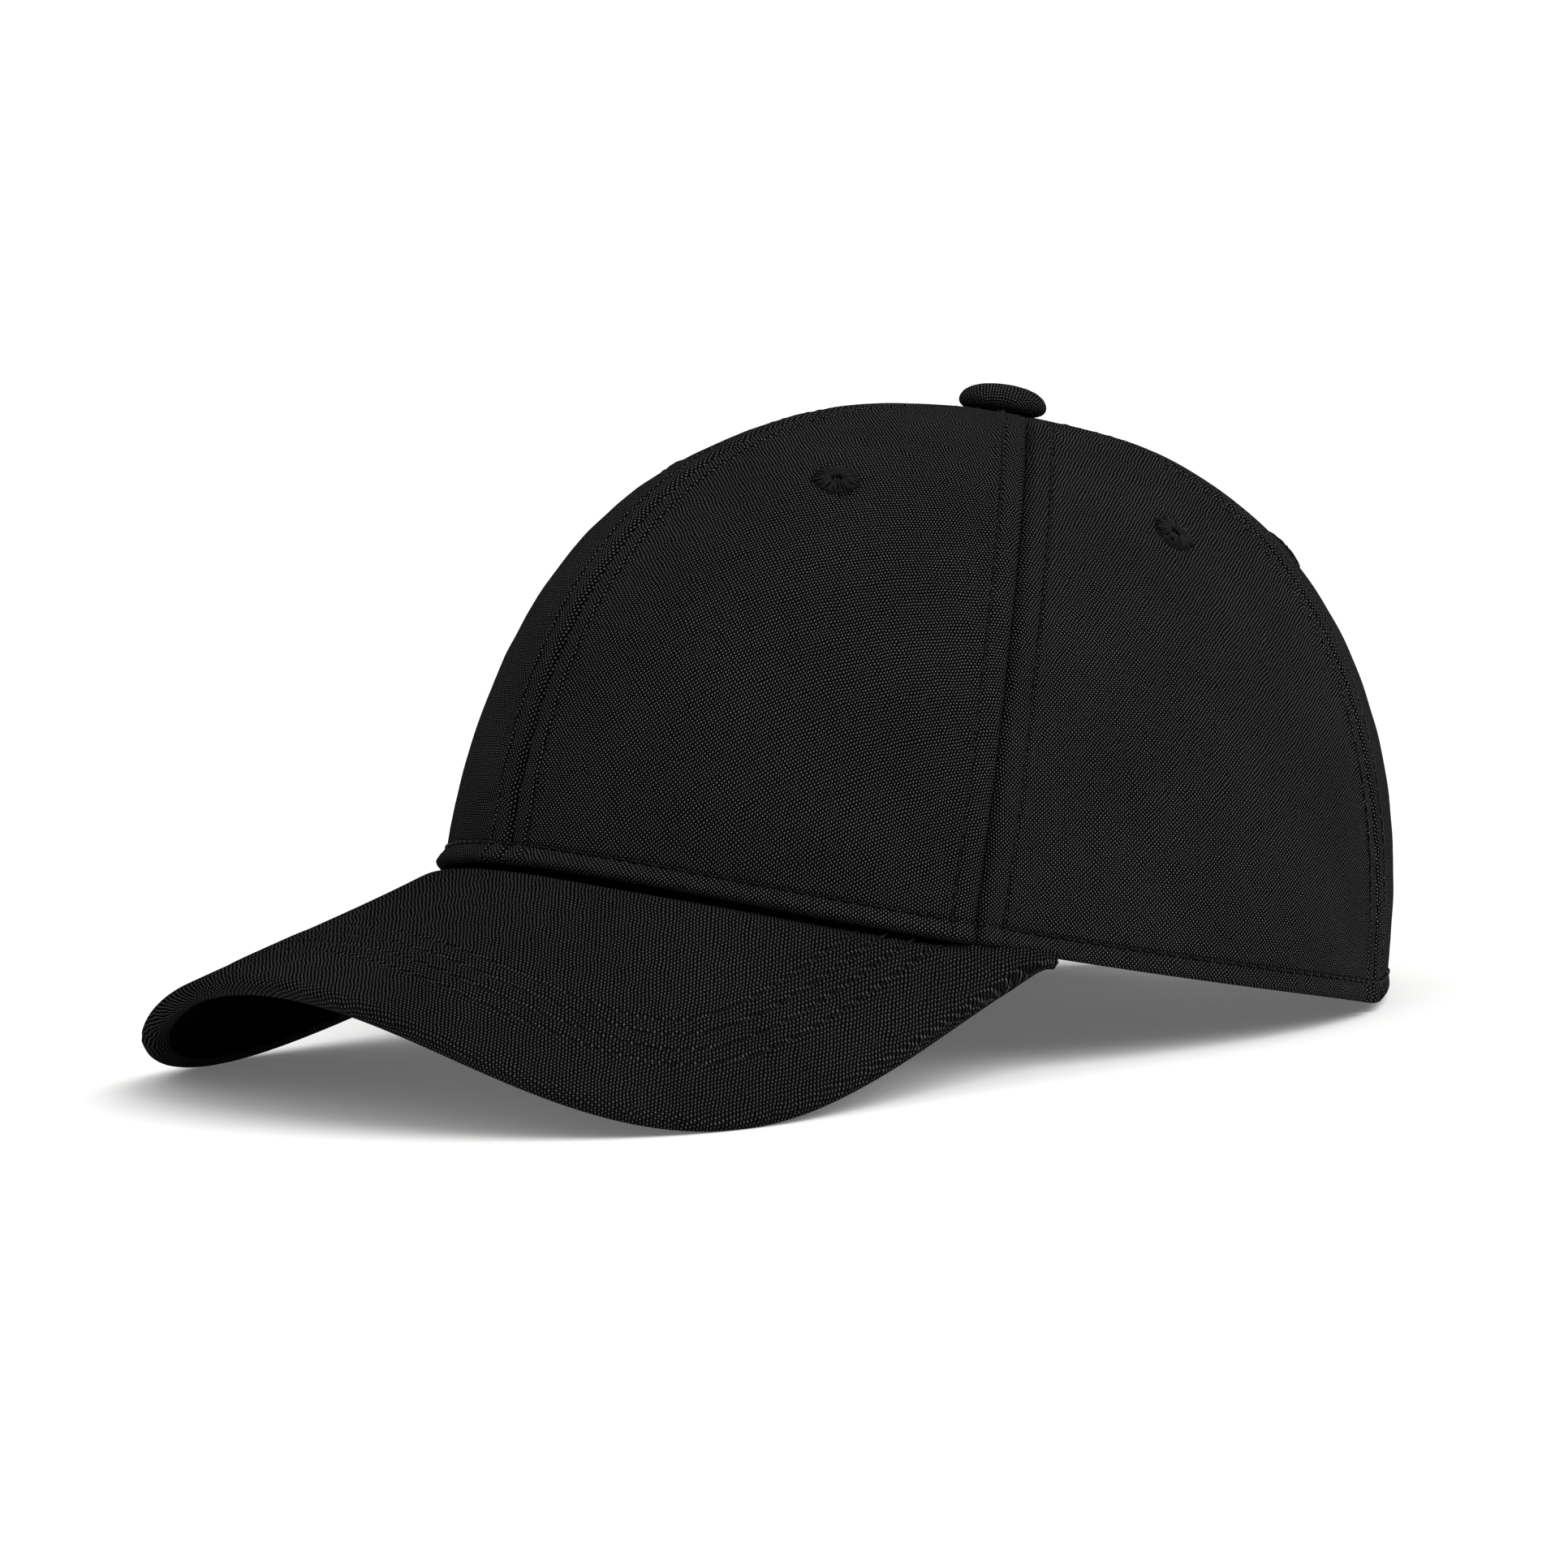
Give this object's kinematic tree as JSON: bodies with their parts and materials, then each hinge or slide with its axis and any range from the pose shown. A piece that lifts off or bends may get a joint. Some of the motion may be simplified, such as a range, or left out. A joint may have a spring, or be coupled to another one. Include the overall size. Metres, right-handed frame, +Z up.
{
  "type": "baseball cap",
  "caption": "Black woven baseball cap with a structured panelled crown, curved stitched visor, covered top button, embroidered eyelets and a flip-clasp strap closure at the back.",
  "frame": {"origin": "on the surface the cap rests on, under the middle of its box, on its plane of symmetry", "axes": "+Z up with the cap lying on its visor and rear hem, -Y towards the front of the visor, +X towards the wearer's left"},
  "size_m": [0.18, 0.2762, 0.1316],
  "materials": {
    "crown_fabric": "plain-woven black cotton twill-weight cloth, matt",
    "visor_fabric": "the same black cloth, ribs running front to back",
    "visor_under_fabric": "black cloth, matt",
    "button_fabric": "black cloth stretched over the button",
    "strap_fabric": "folded black cloth, edge-stitched",
    "buckram": "stiff open-mesh buckram, dark",
    "seam_tape": "black herringbone cotton tape",
    "sweatband_fabric": "black cotton twill",
    "interlining": "grey non-woven felt",
    "eyelet_thread": "black embroidery thread, slight lustre",
    "button_metal": "pressed tinned steel",
    "board_plastic": "extruded polyethylene sheet",
    "buckle_metal": "gunmetal-plated pressed steel, satin"
  },
  "bodies": {
    "cap": {"adjuster_strap": "strap_fabric", "arch_binding": "seam_tape", "back_seam_tape": "seam_tape", "buckle_frame": "buckle_metal", "buckle_loop_strap": "strap_fabric", "buckle_pin": "buckle_metal", "button_cover": "button_fabric", "button_shell": "button_metal", "button_tack": "button_metal", "button_washer": "button_metal", "eyelet_front_left": "eyelet_thread", "eyelet_front_right": "eyelet_thread", "eyelet_rear_left": "eyelet_thread", "eyelet_rear_right": "eyelet_thread", "eyelet_side_left": "eyelet_thread", "eyelet_side_right": "eyelet_thread", "front_buckram_left": "buckram", "front_buckram_right": "buckram", "front_panel_left": "crown_fabric", "front_panel_right": "crown_fabric", "front_seam_tape": "seam_tape", "front_side_tape_left": "seam_tape", "front_side_tape_right": "seam_tape", "rear_panel_left": "crown_fabric", "rear_panel_right": "crown_fabric", "rear_side_tape_left": "seam_tape", "rear_side_tape_right": "seam_tape", "side_panel_left": "crown_fabric", "side_panel_right": "crown_fabric", "sweatband": "sweatband_fabric", "sweatband_interlining": "interlining", "visor_board": "board_plastic", "visor_top_cover": "visor_fabric", "visor_under_cover": "visor_under_fabric"},
    "lever": {"buckle_lever": "buckle_metal"}
  },
  "joints": [
    {"name": "buckle_lever_hinge", "type": "hinge", "parent": "cap", "child": "lever", "pos_m": [0.01976, 0.13164, 0.01298], "axis": [0.0068, -0.1793, -0.9838], "range_deg": [0, 105]}
  ]
}
